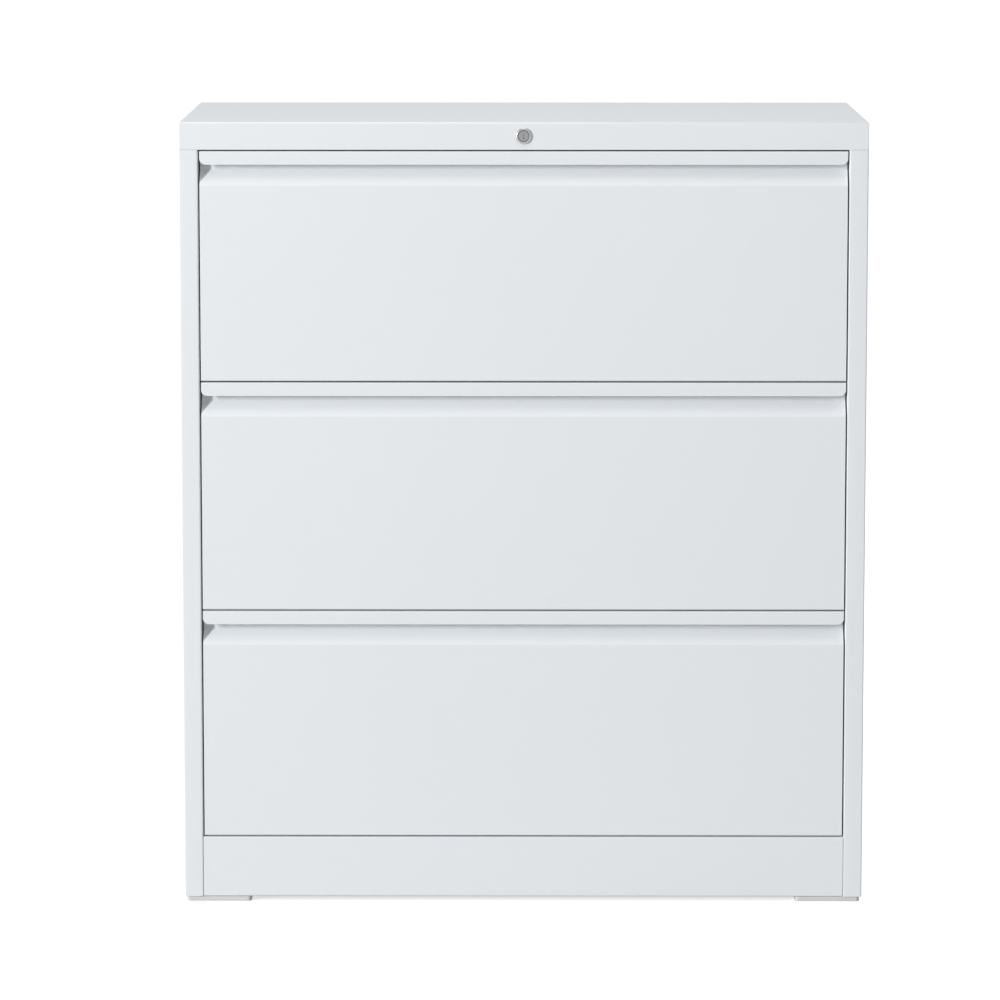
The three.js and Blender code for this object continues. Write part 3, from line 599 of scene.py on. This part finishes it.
class CABINET_OT_slides(bpy.types.Operator):
    """Makes the middle channel of each slide with its rows of balls and the strips that hold them."""

    bl_idname = "cabinet.slides"
    bl_label = "Ball slides"

    def execute(self, context):
        s = context.scene.cabinet_sizes
        # A ball: rings of the radius times the sine, at heights of the radius times the cosine
        polar = np.linspace(BALL_POLE, np.pi - BALL_POLE, 6)
        radius = s.ball / 2
        rings = np.stack([radius * (1 - np.sin(polar)), -radius * np.cos(polar)], axis=1)
        ball = ringed(*circle(radius, 10), rings)
        for row in ROWS:
            for side, sign in SIDES.items():
                slide = f"{row}_{side}_slide"
                name = f"{slide}_middle_channel"
                low, high = (np.array(corner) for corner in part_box(name))
                case_low, case_high = (np.array(corner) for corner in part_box(f"{slide}_case_channel"))
                middle = (case_low[2] + case_high[2]) / 2
                flange = (case_high[2] - case_low[2]) / 2 - 1.5 * s.slide_sheet - s.ball
                outer, inner = (high[0], low[0]) if sign > 0 else (low[0], high[0])
                web = outer - sign * s.slide_sheet / 2
                corners = [(inner, middle + flange), (web, middle + flange),
                           (web, middle - flange), (inner, middle - flange)]
                points, normals = bent_line(corners, np.full(2, s.bend + s.slide_sheet / 2), s.bend_steps)
                channel = carried_sheet(points, normals, s.slide_sheet, low[1], high[1], [1, 0, 2])
                lane = (outer - sign * s.slide_sheet + inner) / 2
                reach = s.slide_sheet / 2 + radius
                rows = np.array([flange + reach, flange - reach, reach - flange, -flange - reach]) + middle
                along = np.arange(low[1] + BALL_START, high[1] - BALL_END, s.ball_pitch)
                spots = np.stack(np.meshgrid([lane], along, rows, indexing="ij"), axis=-1).reshape(-1, 3)
                start, end = along[0] - STRIP_OVERRUN, along[-1] + STRIP_OVERRUN
                edges = lane - STRIP_HALF_WIDTH, lane + STRIP_HALF_WIDTH
                upward = np.array([(0.0, 1.0)] * 2)
                strips = [carried_sheet(np.array([(x, z) for x in edges]), upward, s.retainer,
                                        start, end, [1, 0, 2]) for z in rows]
                piece(f"{row}_{side}_ball_channel", [channel, repeated(ball, spots), *strips],
                      "zinc_plate", f"{row}_runners", (name,))
        return {"FINISHED"}


class CABINET_OT_screws(bpy.types.Operator):
    """Sets four domed screws with a socket in the channel that each slide has on its drawer."""

    bl_idname = "cabinet.screws"
    bl_label = "Slide screws"

    def execute(self, context):
        s = context.scene.cabinet_sizes
        # A head: a quarter ellipse from the rim up to the crown, then the socket's wall down to its floor
        turn = np.linspace(0, np.pi / 2, 5)
        inward = s.screw_radius * SCREW_CROWN * (1 - np.cos(turn))
        dome = np.stack([inward, s.screw_height * np.sin(turn)], axis=1)
        socket = [(s.screw_radius * SOCKET_RIM, s.screw_height),
                  (s.screw_radius * SOCKET_FOOT, s.screw_height * SOCKET_LEVEL)]
        profile = np.concatenate([[(0.0, -SCREW_SINK)], dome, socket])
        for row in ROWS:
            for side, sign in SIDES.items():
                low, high = (np.array(corner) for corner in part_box(f"{row}_{side}_slide_drawer_channel"))
                face = (low[0] if sign > 0 else high[0]) + sign * s.slide_sheet
                points, faces = ringed(*circle(s.screw_radius, 12), profile, [2, 0, 1])
                along = np.linspace(low[1] + s.screw_inset, high[1] - s.screw_inset, SCREW_COUNT)
                spots = np.full((SCREW_COUNT, 3), [face, 0.0, (low[2] + high[2]) / 2])
                spots[:, 1] = along
                piece(f"{row}_{side}_slide_screws", [repeated((points * [sign, 1.0, 1.0], faces), spots)],
                      "zinc_plate", f"{row}_drawer")
        return {"FINISHED"}


class CABINET_OT_lock(bpy.types.Operator):
    """Turns the lock's barrel: a domed flange, a body and a stepped bore."""

    bl_idname = "cabinet.lock"
    bl_label = "Lock barrel"

    def execute(self, context):
        s = context.scene.cabinet_sizes
        low, high = (np.array(corner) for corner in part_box("lock_barrel"))
        rim = (high[0] - low[0]) / 2
        face = low[1]
        seat = face + s.lock_proud
        # The rim's rounding is a quarter ellipse. The whole profile is given as radius and depth.
        turn = np.linspace(0, np.pi / 2, 9)
        dome = np.stack([rim - s.lock_dome * DOME_SPREAD * (1 - np.sin(turn)),
                         face + s.lock_dome * (1 - np.cos(turn))], axis=1)
        profile = np.concatenate([
            [(s.lock_bore, face + s.lock_head), (s.lock_bore, face + BORE_BEVEL),
             (s.lock_bore + BORE_BEVEL, face)],
            dome,
            [(rim, seat), (s.lock_body, seat), (s.lock_body, high[1]), (s.lock_shank_bore, high[1]),
             (s.lock_shank_bore, face + s.lock_head)],
        ])
        path, outward = circle(rim, 72)
        profile[:, 0] = rim - profile[:, 0]
        points, faces = ringed(path, outward, profile, [0, 2, 1], closed=True)
        centre = (low + high) / 2
        points = points + [centre[0], 0.0, centre[2]]
        piece("lock_turned_barrel", [(points, faces)], "lock_chrome", "case", ("lock_barrel",))
        return {"FINISHED"}


class CABINET_OT_feet(bpy.types.Operator):
    """Moulds the four feet: flat pads with round corners and softened edges."""

    bl_idname = "cabinet.feet"
    bl_label = "Feet"

    def execute(self, context):
        s = context.scene.cabinet_sizes
        # Each edge is a quarter circle: drawn in by the sine while it rises by the cosine
        turn = np.linspace(0, np.pi / 2, 6)
        drawn_in, risen = s.foot_edge * (1 - np.sin(turn)), s.foot_edge * (1 - np.cos(turn))
        for name in FEET:
            low, high = (np.array(corner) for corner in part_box(name))
            half, centre = (high - low) / 2, (low + high) / 2
            lower = np.stack([drawn_in, low[2] + risen], axis=1)
            upper = np.stack([risen, high[2] - drawn_in], axis=1)
            path, outward = rounded_path(half[0], half[1], s.foot_corner, 10)
            points, faces = ringed(path, outward, np.concatenate([lower, upper]))
            points = points + [centre[0], centre[1], 0.0]
            piece(f"{name}_pad", [(points, faces)], "foot_plastic", "case", (name,))
        return {"FINISHED"}


# Stage


def stand(target, distance, turn, rise):
    """The place at a distance from the target, turned to the left of the front and risen above it."""
    flat = distance * np.cos(rise)
    return (target[0] - flat * np.sin(turn), target[1] - flat * np.cos(turn),
            target[2] + distance * np.sin(rise))


def lamp(name, width, height, power, place, target):
    """A soft lamp with an oblong face that looks from its place at its target."""
    light = bpy.data.lights.new(name, "AREA")
    light.shape = "RECTANGLE"
    light.size, light.size_y = width, height
    light.energy = power
    obj = bpy.data.objects.new(name, light)
    obj.location = place
    obj.rotation_euler = (Vector(target) - Vector(place)).to_track_quat("-Z", "Y").to_euler()
    bpy.context.scene.collection.objects.link(obj)
    return obj


def seen(tree):
    """1 where the camera, or a mirror or a clear piece, looks straight at it."""
    camera, glossy, through = outputs_of(node(tree, "ShaderNodeLightPath"),
                                         ("Is Camera Ray", "Is Glossy Ray", "Is Transmission Ray"))
    return camera.math("MAXIMUM", camera, camera.math("MAXIMUM", glossy, through))


class CABINET_OT_stage(bpy.types.Operator):
    """Sets up the camera, the three lamps, the even light and a white floor that keeps the shadow."""

    bl_idname = "cabinet.stage"
    bl_label = "Stage"

    def execute(self, context):
        scene, s = context.scene, context.scene.cabinet_stage
        camera = bpy.data.cameras.new("front_view")
        camera.lens, camera.sensor_width, camera.clip_end = s.lens, 36.0, 200.0
        eye = bpy.data.objects.new("front_view", camera)
        eye.location = (s.eye_x, s.eye_y, s.eye_z)
        eye.rotation_euler = (radians(90) - s.tilt, 0.0, s.pan)
        scene.collection.objects.link(eye)
        scene.camera = eye

        target = LIT_POINT
        key = lamp("key_lamp", s.key_width, s.key_height, s.key_power,
                   stand(target, s.key_distance, s.key_turn, s.key_rise), target)
        fill = lamp("fill_lamp", s.fill_size, s.fill_size, s.fill_power,
                    stand(target, s.fill_distance, s.fill_turn, s.fill_rise), target)
        high = lamp("high_lamp", s.high_size, s.high_size, s.high_power,
                    (target[0], target[1] - s.high_ahead, s.high_level), target)

        world = bpy.data.worlds.new("even_light")
        tree = bare_tree(world)
        strength = seen(tree) * (1.0 - s.sky) + s.sky
        glow = node(tree, "ShaderNodeBackground", None, {"Color": WHITE, "Strength": strength})
        node(tree, "ShaderNodeOutputWorld", None, {"Surface": glow})
        scene.world = world

        material = bpy.data.materials.new("white_floor")
        tree = bare_tree(material)
        looked_at = seen(tree)
        shader = node(tree, "ShaderNodeBsdfPrincipled", None, {
            "Base Color": mixed(tree, looked_at, s.floor, s.floor_seen),
            "Emission Color": mixed(tree, looked_at, BLACK, WHITE),
            "Emission Strength": s.floor_glow,
            "Roughness": 1.0,
            "Specular IOR Level": 0.0,
        })
        node(tree, "ShaderNodeOutputMaterial", None, {"Surface": shader})
        mesh = bpy.data.meshes.new("floor")
        ends = (-FLOOR_REACH, FLOOR_REACH)
        mesh.from_pydata([(x, y, 0.0) for y in ends for x in ends], [], [(0, 1, 3, 2)])
        floor = bpy.data.objects.new("floor", mesh)
        mesh.materials.append(material)
        scene.collection.objects.link(floor)

        scene.view_settings.view_transform = "Standard"
        return {"FINISHED"}


OPERATORS = (CABINET_OT_nodes, CABINET_OT_sheets, CABINET_OT_fronts, CABINET_OT_slides, CABINET_OT_screws,
             CABINET_OT_lock, CABINET_OT_feet, CABINET_OT_stage)


class CABINET_PT_panel(bpy.types.Panel):
    """Sizes, colours and stage of the cabinet, and a button for each group of pieces."""

    bl_idname = "CABINET_PT_panel"
    bl_label = "Lateral Filing Cabinet"
    bl_space_type = "VIEW_3D"
    bl_region_type = "UI"
    bl_category = "Cabinet"

    def draw(self, context):
        for group in (getattr(context.scene, name) for name in GROUPS):
            box = self.layout.box()
            for name in group.__annotations__:
                box.prop(group, name)
        for operator in OPERATORS:
            self.layout.operator(operator.bl_idname)


GROUPS = {"cabinet_sizes": CabinetSizes, "cabinet_finishes": CabinetFinishes, "cabinet_stage": CabinetStage}


def register():
    for group in GROUPS.values():
        bpy.utils.register_class(group)
    for name, group in GROUPS.items():
        setattr(bpy.types.Scene, name, PointerProperty(type=group))
    for operator in OPERATORS:
        bpy.utils.register_class(operator)
    bpy.utils.register_class(CABINET_PT_panel)


def unregister():
    bpy.utils.unregister_class(CABINET_PT_panel)
    for operator in reversed(OPERATORS):
        bpy.utils.unregister_class(operator)
    for name in GROUPS:
        delattr(bpy.types.Scene, name)
    for group in reversed(GROUPS.values()):
        bpy.utils.unregister_class(group)


def main():
    register()
    bpy.ops.cabinet.nodes()
    bpy.ops.cabinet.sheets()
    bpy.ops.cabinet.fronts()
    bpy.ops.cabinet.slides()
    bpy.ops.cabinet.screws()
    bpy.ops.cabinet.lock()
    bpy.ops.cabinet.feet()
    bpy.ops.cabinet.stage()


if __name__ == "__main__":
    main()
